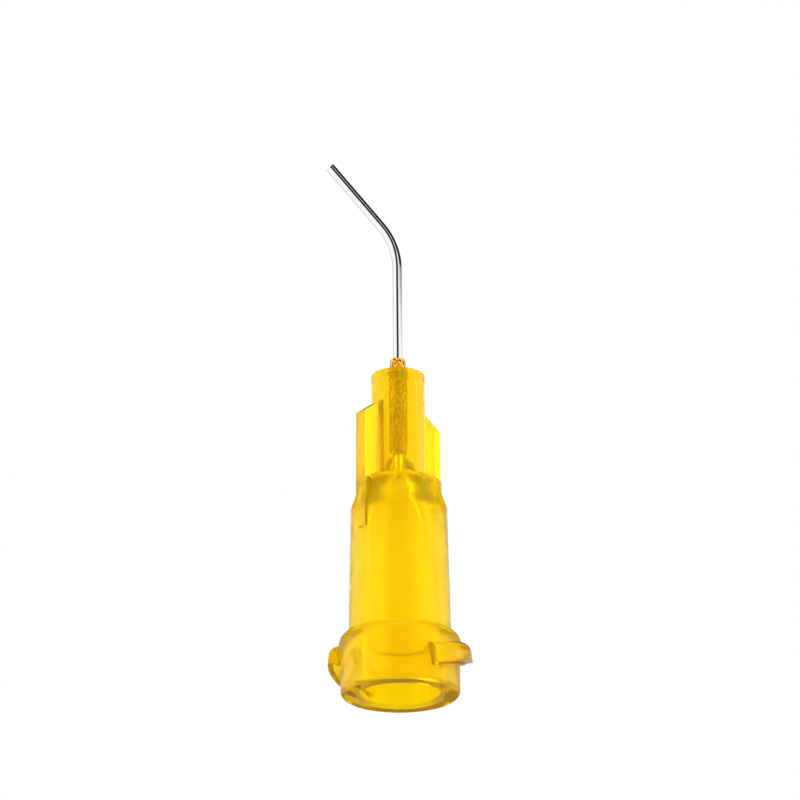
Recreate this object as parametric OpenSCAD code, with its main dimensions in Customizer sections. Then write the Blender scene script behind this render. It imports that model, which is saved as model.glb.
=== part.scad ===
// Bent dispensing needle tip: a moulded luer-lock hub, a bonded steel needle
// tube bent near its middle, and the adhesive that holds the tube in the nose.
// The part stands on its mouth rim. The origin is the centre of that rim,
// +Z runs up the hub's axis and the needle bends over towards -X.

/* [Hub] */
// Height of the whole hub, from mouth rim to nose face
hub_h = 18.3; // [17.5:0.1:22]
// Angle from the needle's bend plane to the plane of the hub's fins
hub_turn = 17.6; // [-180:0.1:180]

/* [Mouth collar] */
// Diameter of the collar, which is the root of the locking lugs
collar_d = 6.4; // [6.2:0.05:6.5]
// Diameter of the band that tops the collar
band_d = 6.6; // [6.5:0.05:6.9]
// Height of the band's lower edge above the rim
band_z = 2.25; // [1.9:0.05:2.4]
// Height of the band's top above the rim
band_top_z = 3.48; // [3.3:0.01:4]
// Radius of the rounding on the band's upper edge
band_round = 0.7; // [0.2:0.05:0.8]
// Radius of the rounding on the rim's outer edge
rim_round = 0.25; // [0.1:0.05:0.4]

/* [Locking lugs] */
// Diameter over the two lugs
lug_d = 7.83; // [7.6:0.01:7.83]
// Height of a lug at its root
lug_h = 1.15; // [0.8:0.05:1.2]
// Radius of the rounding along a lug's upper outer edge
lug_round = 0.62; // [0.3:0.01:0.65]
// Height of the middle of a lug's underside above the rim
lug_z = 1.35; // [1.2:0.01:1.4]
// Angle of turn that a lug takes up around the collar
lug_span = 61; // [40:1:70]
// Slope at which a lug climbs around the collar, as a right-hand thread does
lug_ramp = 14.5; // [8:0.5:17]
// Angle from the fins' plane to the middle of the first lug
lug_azimuth = -70; // [-180:1:180]

/* [Barrel] */
// Diameter of the barrel at its foot, on the band
barrel_foot_d = 5.56; // [5.3:0.02:5.9]
// Diameter of the barrel at its shoulder
barrel_d = 5.22; // [5.1:0.02:5.5]
// Height of the barrel's shoulder above the rim
shoulder_z = 10.55; // [9.5:0.05:11]
// Height of the slope between the barrel and the neck
shoulder_h = 0.8; // [0.4:0.05:1]

/* [Neck and nose] */
// Diameter of the neck above the barrel
neck_d = 4.66; // [4.4:0.02:4.9]
// Height of the neck's top face above the rim
neck_z = 12; // [11.6:0.05:12.6]
// Diameter of the nose
nose_d = 2.9; // [2.8:0.02:3.2]

/* [Fins] */
// Thickness of the two fins that brace the nose
fin_t = 0.72; // [0.5:0.02:0.9]
// Distance from the axis to a fin's outer edge, at its foot in the barrel
fin_foot_r = 2.79; // [2.7:0.01:3]
// Distance from the axis to a fin's outer edge, at its upper corner
fin_r = 2.72; // [2.3:0.01:2.8]
// Height of the fins' lower end, which runs out on the barrel
fin_foot_z = 9; // [7:0.1:10]
// Height at which a fin's sloped top meets the nose
fin_top_z = 16.5; // [15:0.1:17]
// Height of a fin's outer upper corner
fin_corner_z = 15.6; // [13.5:0.1:16]

/* [Luer socket] */
// Diameter of the luer cone at the mouth
socket_d = 4.3; // [4.27:0.005:4.315]
// Taper of the luer cone: the diameter it loses over its depth, in percent
socket_taper = 6; // [5.9:0.05:6.1]
// Depth of the luer cone
socket_h = 10; // [7.5:0.1:10.2]
// Width of the lead-in chamfer at the mouth
lead_in = 0.2; // [0.05:0.05:0.3]
// Height at which the funnel above the cone closes to the needle bore
funnel_z = 13.6; // [13.2:0.1:15]

/* [Needle] */
// Outer diameter of the steel tube
needle_d = 0.51; // [0.3:0.01:0.8]
// Wall of the steel tube
needle_wall = 0.125; // [0.05:0.005:0.14]
// Length of tube from the nose face to the corner of the bend
needle_rise = 7.8; // [4:0.1:30]
// Length of tube from the corner of the bend to the tip
needle_reach = 5.7; // [3:0.1:20]
// Angle of the bend
needle_bend = 45; // [20:1:60]
// Radius of the bend, at the tube's centre line
bend_r = 3.3; // [1.5:0.1:4]
// Height of the tube's lower end, inside the funnel
needle_foot_z = 12.6; // [12.2:0.1:13]

/* [Adhesive] */
// Width of the gap between tube and bore, which the adhesive fills
bond_gap = 0.065; // [0.03:0.005:0.12]
// Diameter of the bead of adhesive on the nose face
bead_d = 0.84; // [0.8:0.02:1.4]
// Height of the bead above the nose face
bead_h = 1; // [0.5:0.05:1.4]
// Radius of the rounding at the bead's top
bead_round = 0.15; // [0.05:0.01:0.2]

/* [Hidden] */
$fn = 96;
// How far one shape of a moulding runs into its neighbour, or a cut runs clear
lap = 0.4;
bore_r = needle_d / 2 + bond_gap;
// Distance from the corner of the bend to each end of its arc
setback = bend_r * tan(needle_bend / 2);

// Radius of the luer cone at a height above the rim
function socket_r(z) = (socket_d - z * socket_taper / 100) / 2;

// Rectangle from the axis out to r and up to h, with its outer top corner rounded
module rounded_block(r, h, round) {
    square([r, h - round]);
    square([r - round, h]);
    translate([r - round, h - round]) circle(round);
}

// Half section of the hub's outside, from the rim up to the nose face
module hub_outline() {
    // collar, rounded at the rim, and the band above it
    translate([0, band_z]) mirror([0, 1]) rounded_block(collar_d / 2, band_z, rim_round);
    polygon([
        [0, band_z - lap], [collar_d / 2, band_z - lap], [band_d / 2, band_z], [0, band_z]
    ]);
    translate([0, band_z]) rounded_block(band_d / 2, band_top_z - band_z, band_round);
    // barrel, which draws in towards the shoulder
    polygon([
        [0, band_z], [barrel_foot_d / 2, band_z],
        [barrel_d / 2, shoulder_z], [neck_d / 2, shoulder_z + shoulder_h],
        [neck_d / 2, neck_z], [0, neck_z]
    ]);
    square([nose_d / 2, hub_h]);
}

// Half section of the hollow: lead-in, luer cone, funnel and needle bore
module socket_outline() {
    polygon([
        [0, -lap], [socket_r(0) + lead_in + lap, -lap], [socket_r(0), lead_in],
        [socket_r(socket_h), socket_h], [bore_r, funnel_z],
        [bore_r, hub_h + lap], [0, hub_h + lap]
    ]);
}

// One fin's side view, from inside the nose out to its sloped edge
module fin() {
    rotate([90, 0, 0]) linear_extrude(fin_t, center = true) polygon([
        [bore_r + lap, fin_foot_z], [fin_foot_r, fin_foot_z],
        [fin_r, fin_corner_z], [nose_d / 2, fin_top_z], [bore_r + lap, fin_top_z]
    ]);
}

// One locking lug: a slice of a ring, tilted so that it climbs like a thread
module lug() {
    root_r = socket_r(0) + lap;
    rotate([lug_ramp, 0, 0])
        rotate_extrude(angle = lug_span, start = -lug_span / 2)
            difference() {
                rounded_block(lug_d / 2, lug_h, lug_round);
                square([root_r, lug_h]);
            }
}

module luer_hub() {
    color("gold") rotate(hub_turn) difference() {
        union() {
            rotate_extrude() hub_outline();
            for (side = [0, 180]) rotate(side) {
                fin();
                rotate(lug_azimuth) translate([0, 0, lug_z]) lug();
            }
        }
        rotate_extrude() socket_outline();
    }
}

// A round rod along the tube's path; run_out lengthens it at both ends
module tube_path(r, run_out) {
    corner_z = hub_h + needle_rise;
    translate([0, 0, needle_foot_z - run_out])
        cylinder(r = r, h = corner_z - setback - needle_foot_z + run_out);
    translate([-bend_r, 0, corner_z - setback]) {
        rotate([90, 0, 0]) rotate_extrude(angle = needle_bend) translate([bend_r, 0]) circle(r);
        rotate([0, -needle_bend, 0]) translate([bend_r, 0, 0])
            cylinder(r = r, h = needle_reach - setback + run_out);
    }
}

module needle_tube() {
    color("silver") difference() {
        tube_path(needle_d / 2, 0);
        tube_path(needle_d / 2 - needle_wall, lap);
    }
}

// Cured adhesive: a sleeve in the bore and a bead around the tube on the nose
module adhesive_bond() {
    color("orange") difference() {
        union() {
            translate([0, 0, funnel_z]) cylinder(r = bore_r, h = hub_h - funnel_z);
            translate([0, 0, hub_h]) rotate_extrude() rounded_block(bead_d / 2, bead_h, bead_round);
        }
        translate([0, 0, needle_foot_z]) cylinder(d = needle_d, h = hub_h + bead_h);
    }
}

luer_hub();
needle_tube();
adhesive_bond();
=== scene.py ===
import math

import bmesh
import bpy
from mathutils import Matrix, Vector


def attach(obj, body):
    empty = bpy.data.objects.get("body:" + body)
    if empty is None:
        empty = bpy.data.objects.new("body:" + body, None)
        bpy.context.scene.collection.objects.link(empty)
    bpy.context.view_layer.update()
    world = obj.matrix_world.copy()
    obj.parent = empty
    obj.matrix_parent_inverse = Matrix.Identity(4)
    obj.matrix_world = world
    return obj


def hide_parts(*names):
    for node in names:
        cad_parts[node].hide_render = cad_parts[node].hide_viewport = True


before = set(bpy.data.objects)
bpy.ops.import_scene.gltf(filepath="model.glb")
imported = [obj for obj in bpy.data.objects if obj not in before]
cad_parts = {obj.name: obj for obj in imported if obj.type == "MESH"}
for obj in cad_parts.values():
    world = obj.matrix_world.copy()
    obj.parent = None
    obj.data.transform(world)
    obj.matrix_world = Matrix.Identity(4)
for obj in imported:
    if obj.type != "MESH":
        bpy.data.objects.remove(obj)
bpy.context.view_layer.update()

scene = bpy.context.scene
scene.view_settings.view_transform = "Standard"
mm = 0.001
mergeDistance = 0.0001 * mm

print("frame loaded:", ", ".join(sorted(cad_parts)))


class Value:
    # wraps one socket, so that sums and products of shader values read as plain expressions
    def __init__(self, tree, socket):
        self.tree = tree
        self.socket = socket

    def maths(self, operation, first, second):
        return self.tree.node("ShaderNodeMath", {"operation": operation}, {0: first, 1: second})

    def __add__(self, other):
        return self.maths("ADD", self, other)

    def __radd__(self, other):
        return self.maths("ADD", other, self)

    def __rsub__(self, other):
        return self.maths("SUBTRACT", other, self)

    def __mul__(self, other):
        return self.maths("MULTIPLY", self, other)

    def largest(self, other):
        return self.maths("MAXIMUM", self, other)


class Nodes:
    # one node tree, emptied and filled by name
    def __init__(self, tree):
        self.tree = tree
        tree.nodes.clear()

    def node(self, kind, settings=None, inputs=None, output=0):
        made = self.tree.nodes.new(kind)
        for name, setting in (settings or {}).items():
            if name == "stops":
                self.setStops(made.color_ramp, setting)
            else:
                setattr(made, name, setting)
        for name, value in (inputs or {}).items():
            socket = made.inputs[name]
            if isinstance(value, Value):
                self.tree.links.new(value.socket, socket)
            else:
                socket.default_value = value
        return Value(self, made.outputs[output])

    def setStops(self, ramp, stops):
        while len(ramp.elements) > 1:
            ramp.elements.remove(ramp.elements[-1])
        ramp.elements[0].position, ramp.elements[0].color = stops[0]
        for position, colour in stops[1:]:
            ramp.elements.new(position).color = colour

    def finish(self, kind, **ends):
        output = self.tree.nodes.new(kind)
        for name, value in ends.items():
            self.tree.links.new(value.socket, output.inputs[name])

    def mixColour(self, factor, first, second):
        return self.node("ShaderNodeMix", {"data_type": "RGBA"},
                         {0: factor, 6: first, 7: second}, output=2)

    def position(self, scale=(1, 1, 1)):
        place = self.node("ShaderNodeTexCoord", output="Object")
        return self.node("ShaderNodeMapping", inputs={"Vector": place, "Scale": scale})

    def noise(self, vector, scale, detail):
        return self.node("ShaderNodeTexNoise", inputs={
            "Vector": vector, "Scale": scale, "Detail": detail})

    def bump(self, height, strength, distance):
        return self.node("ShaderNodeBump", inputs={
            "Height": height, "Strength": strength, "Distance": distance})


def newMaterial(name):
    material = bpy.data.materials.new(name)
    material.use_nodes = True
    return material, Nodes(material.node_tree)


cameraSet = {
    "azimuth": 23.96,      # degrees from the -Y side
    "elevation": -20.57,   # below the mouth, looking up
    "roll": -0.45,
    "distance": 263.17 * mm,
    "aimHeight": 15 * mm,
    "aimShift": (0.088 * mm, 1.80 * mm),
    "lens": 217.35,
    "sensor": 36,
    "clip": (5 * mm, 10),
}


def makeCamera(c):
    azimuth, elevation, roll = (math.radians(c[k]) for k in ("azimuth", "elevation", "roll"))
    ahead = Vector((math.sin(azimuth) * math.cos(elevation),
                    math.cos(azimuth) * math.cos(elevation), -math.sin(elevation)))
    flat = Vector((math.cos(azimuth), -math.sin(azimuth), 0))
    rise = flat.cross(ahead)
    right = math.cos(roll) * flat + math.sin(roll) * rise
    up = math.cos(roll) * rise - math.sin(roll) * flat
    centre = Vector((0, 0, c["aimHeight"]))
    eye = centre - ahead * c["distance"]
    ahead = (centre + right * c["aimShift"][0] + up * c["aimShift"][1] - eye).normalized()
    right = ahead.cross(up).normalized()
    up = right.cross(ahead)
    data = bpy.data.cameras.new("camera")
    data.lens = c["lens"]
    data.sensor_width = c["sensor"]
    data.clip_start, data.clip_end = c["clip"]
    camera = bpy.data.objects.new("camera", data)
    scene.collection.objects.link(camera)
    turn = Matrix((right, up, -ahead)).transposed().to_4x4()
    camera.matrix_world = Matrix.Translation(eye) @ turn
    scene.camera = camera
    return right, ahead


right, ahead = makeCamera(cameraSet)
print("camera set")


studioSet = {
    "floorHeight": -0.03 * mm,
    "floorSize": 1.2,
    "floorColour": (0.86, 0.86, 0.86, 1),
    "floorRoughness": 0.7,
    "floorNoise": (900, 2),            # noise scale and detail
    "floorBump": (0.05, 0.2 * mm),     # bump strength and distance
    "fill": 1.1,            # world level for soft light; with the boxes it is above a plain 1
    "roomLevel": 0.02,      # the dark room round the set, in reflections
    "roomThrough": 0.85,    # and through the clear plastic
    "ceiling": (0.375, 0.405),                      # heights between which it darkens
    "roomFront": ((-0.38, -0.856, 0.35), 19, 26),   # direction, and the angles of its soft edge
    "roomLow": ((-0.03, -1.0, 0.0), 22, 27),
    "lowEdge": (0.33, 0.30),
    "tableFar": ((0.38, 0.856, -0.36), 20, 32),     # the set's far lower edge, mirrored by the rim
    "tableShade": 0.85,
    "screenLevel": 0.5,     # the paper screen behind, as polished edges mirror it
    "screenEdge": (40, 62),
    "besideScreen": 0.93,   # either side of the paper screen, through the plastic
    "besideEdge": (14, 18),
    "boxPower": 0.9,
    "boxSize": 0.30,
    "boxDistance": 0.25,
    "boxBack": 0.3,         # how far towards the camera, and up, for each step to the side
    "boxRise": 0.5,
    "boxHeight": 12 * mm,   # the height on the axis that the boxes face
}


def makeFloor(s):
    made = bmesh.new()
    bmesh.ops.create_grid(made, x_segments=1, y_segments=1, size=s["floorSize"] / 2)
    bmesh.ops.translate(made, verts=made.verts, vec=(0, 0, s["floorHeight"]))
    mesh = bpy.data.meshes.new("floor")
    made.to_mesh(mesh)
    made.free()
    floor = bpy.data.objects.new("floor", mesh)
    scene.collection.objects.link(floor)
    material, n = newMaterial("floorPaper")
    grain = n.noise(n.position(), *s["floorNoise"])
    paper = n.node("ShaderNodeBsdfPrincipled", inputs={
        "Base Color": s["floorColour"],
        "Roughness": s["floorRoughness"],
        "Normal": n.bump(grain, *s["floorBump"]),
    })
    under = n.node("ShaderNodeNewGeometry", output="Backfacing")
    clear = n.node("ShaderNodeBsdfTransparent")
    both = n.node("ShaderNodeMixShader", inputs={0: under, 1: paper, 2: clear})
    n.finish("ShaderNodeOutputMaterial", Surface=both)
    mesh.materials.append(material)
    # hidden from the part's own rays, which pass it to the world below; it still stops shadow rays
    floor.visible_diffuse = floor.visible_glossy = floor.visible_transmission = False


def makeWorld(s):
    world = bpy.data.worlds.new("studio")
    world.use_nodes = True
    scene.world = world
    n = Nodes(world.node_tree)
    isCamera = n.node("ShaderNodeLightPath", output="Is Camera Ray")
    isGlossy = n.node("ShaderNodeLightPath", output="Is Glossy Ray")
    isThrough = n.node("ShaderNodeLightPath", output="Is Transmission Ray")
    looking = n.node("ShaderNodeTexCoord", output="Generated")
    height = n.node("ShaderNodeSeparateXYZ", inputs={0: looking}, output=2)

    def ramp(value, start, end):
        return n.node("ShaderNodeMapRange", {"interpolation_type": "SMOOTHSTEP"},
                      {"Value": value, "From Min": start, "From Max": end})

    def spot(direction, inner, outer):
        facing = n.node("ShaderNodeVectorMath", {"operation": "DOT_PRODUCT"},
                        {0: looking, 1: Vector(direction).normalized()}, output=1)
        return ramp(facing, math.cos(math.radians(outer)), math.cos(math.radians(inner)))

    room = ramp(height, *s["ceiling"]).largest(spot(*s["roomFront"]))
    room = room.largest(spot(*s["roomLow"]) * ramp(height, *s["lowEdge"]))
    beside = (1 - spot(ahead, *s["besideEdge"])) * (1 - s["besideScreen"])
    through = isThrough * (1 - room * (1 - s["roomThrough"])) * (1 - beside)
    room = room.largest(spot(*s["tableFar"]) * s["tableShade"])
    darkRoom = 1 - room * (1 - s["roomLevel"])
    darkScreen = 1 - spot(ahead, *s["screenEdge"]) * (1 - s["screenLevel"])
    mirrored = isGlossy * darkRoom * darkScreen
    soft = (1 - isCamera.largest(isGlossy).largest(isThrough)) * s["fill"]
    level = isCamera.largest(mirrored).largest(through) + soft
    sky = n.node("ShaderNodeBackground", inputs={"Color": (1, 1, 1, 1), "Strength": level})
    n.finish("ShaderNodeOutputWorld", Surface=sky)


def softBox(name, side, s):
    lamp = bpy.data.lights.new(name, "AREA")
    lamp.shape = "SQUARE"
    lamp.size = s["boxSize"]
    lamp.energy = s["boxPower"]
    box = bpy.data.objects.new(name, lamp)
    scene.collection.objects.link(box)
    flatAhead = Vector((ahead.x, ahead.y, 0)).normalized()
    direction = side - s["boxBack"] * flatAhead + Vector((0, 0, s["boxRise"]))
    place = direction.normalized() * s["boxDistance"]
    box.location = place + Vector((0, 0, s["boxHeight"]))
    box.visible_glossy = False
    box.rotation_euler = place.to_track_quat("Z", "Y").to_euler()


makeFloor(studioSet)
makeWorld(studioSet)
softBox("leftBox", -right, studioSet)
softBox("rightBox", right, studioSet)
print("studio ready")


hubSet = {
    "colour": (1.0, 0.86, 0.015, 1),
    "cloudy": (1.0, 0.78, 0.010, 1),
    "cloudNoise": (900, 4),           # noise scale and detail
    "through": 0.82,
    "ior": 1.49,
    "roughness": 0.05,
    "grainNoise": (9000, 3),
    "grainRoughness": 0.07,
    "grainBump": (0.2, 0.01 * mm),    # bump strength and distance
    "shine": 0.3,
    "glint": (1.0, 0.72, 0.03, 1),
    "softness": 0.5 * mm,
    "scatter": (1.0, 0.5, 0.1),       # red light travels furthest inside
    "absorb": (1.0, 0.955, 0.1, 1),   # takes out blue, and a little green with depth
    "density": 3000,
    "creaseAngle": 28,
}


def mergedCopy(node, name, angle):
    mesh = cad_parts[node].data.copy()
    mesh.name = name
    made = bmesh.new()
    made.from_mesh(mesh)
    bmesh.ops.remove_doubles(made, verts=made.verts, dist=mergeDistance)
    made.to_mesh(mesh)
    made.free()
    mesh.materials.clear()
    # the imported normals no longer fit the merged corners
    stale = ("custom_normal", "sharp_edge", "sharp_face")
    for layer in [a for a in mesh.attributes if a.name in stale]:
        mesh.attributes.remove(layer)
    for face in mesh.polygons:
        face.use_smooth = True
    mesh.set_sharp_from_angle(angle=math.radians(angle))
    piece = bpy.data.objects.new(name, mesh)
    scene.collection.objects.link(piece)
    return piece


def hubPlastic(s):
    material, n = newMaterial("amberPolypropylene")
    place = n.position()
    cloud = n.noise(place, *s["cloudNoise"])
    grain = n.noise(place, *s["grainNoise"])
    plastic = n.node("ShaderNodeBsdfPrincipled", inputs={
        "Base Color": n.mixColour(cloud, s["colour"], s["cloudy"]),
        "Roughness": s["roughness"] + grain * s["grainRoughness"],
        "IOR": s["ior"],
        "Specular IOR Level": s["shine"],
        "Specular Tint": s["glint"],
        "Transmission Weight": s["through"],
        "Subsurface Weight": 1.0,
        "Subsurface Radius": s["scatter"],
        "Subsurface Scale": s["softness"],
        "Normal": n.bump(grain, *s["grainBump"]),
    })
    depth = n.node("ShaderNodeVolumeAbsorption", inputs={
        "Color": s["absorb"], "Density": s["density"]})
    n.finish("ShaderNodeOutputMaterial", Surface=plastic, Volume=depth)
    return material


hub = mergedCopy("luer_hub", "hub", hubSet["creaseAngle"])
hub.data.materials.append(hubPlastic(hubSet))
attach(hub, "root")
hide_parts("luer_hub")
print("hub made")


needleSet = {
    "colour": (0.93, 0.92, 0.91, 1),
    "roughness": 0.03,
    "drawnStretch": (1, 1, 0.05),      # the marks run up the upright part
    "drawnNoise": (12000, 3),          # noise scale and detail
    "drawnRoughness": 0.03,
    "drawnBump": (0.1, 0.003 * mm),    # bump strength and distance
    "creaseAngle": 40,
}


def needleSteel(s):
    material, n = newMaterial("drawnSteel")
    drawn = n.noise(n.position(s["drawnStretch"]), *s["drawnNoise"])
    steel = n.node("ShaderNodeBsdfPrincipled", inputs={
        "Base Color": s["colour"],
        "Metallic": 1.0,
        "Roughness": s["roughness"] + drawn * s["drawnRoughness"],
        "Normal": n.bump(drawn, *s["drawnBump"]),
    })
    n.finish("ShaderNodeOutputMaterial", Surface=steel)
    return material


needle = mergedCopy("needle_tube", "needle", needleSet["creaseAngle"])
needle.data.materials.append(needleSteel(needleSet))
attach(needle, "root")
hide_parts("needle_tube")
print("needle made")


bondSet = {
    "wetting": 1.015,      # the cured sleeve grips the bore, with no air between
    "roughness": 0.15,
    "ior": 1.5,
    "through": 0.25,
    "speckNoise": (9000, 4),          # noise scale and detail
    "speckBump": (0.3, 0.01 * mm),    # bump strength and distance
    "stops": [
        (0.38, (0.16, 0.03, 0.002, 1)),
        (0.5, (0.62, 0.22, 0.01, 1)),
        (0.62, (0.97, 0.55, 0.03, 1)),
    ],
    "creaseAngle": 40,
}


def bondResin(s):
    material, n = newMaterial("amberResin")
    speck = n.noise(n.position(), *s["speckNoise"])
    tint = n.node("ShaderNodeValToRGB", {"stops": s["stops"]}, {0: speck})
    resin = n.node("ShaderNodeBsdfPrincipled", inputs={
        "Base Color": tint,
        "Roughness": s["roughness"],
        "IOR": s["ior"],
        "Transmission Weight": s["through"],
        "Normal": n.bump(speck, *s["speckBump"]),
    })
    n.finish("ShaderNodeOutputMaterial", Surface=resin)
    return material


bond = mergedCopy("adhesive_bond", "bond", bondSet["creaseAngle"])
bond.data.transform(Matrix.Diagonal((bondSet["wetting"], bondSet["wetting"], 1, 1)))
bond.data.materials.append(bondResin(bondSet))
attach(bond, "root")
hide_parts("adhesive_bond")
print("adhesive made")
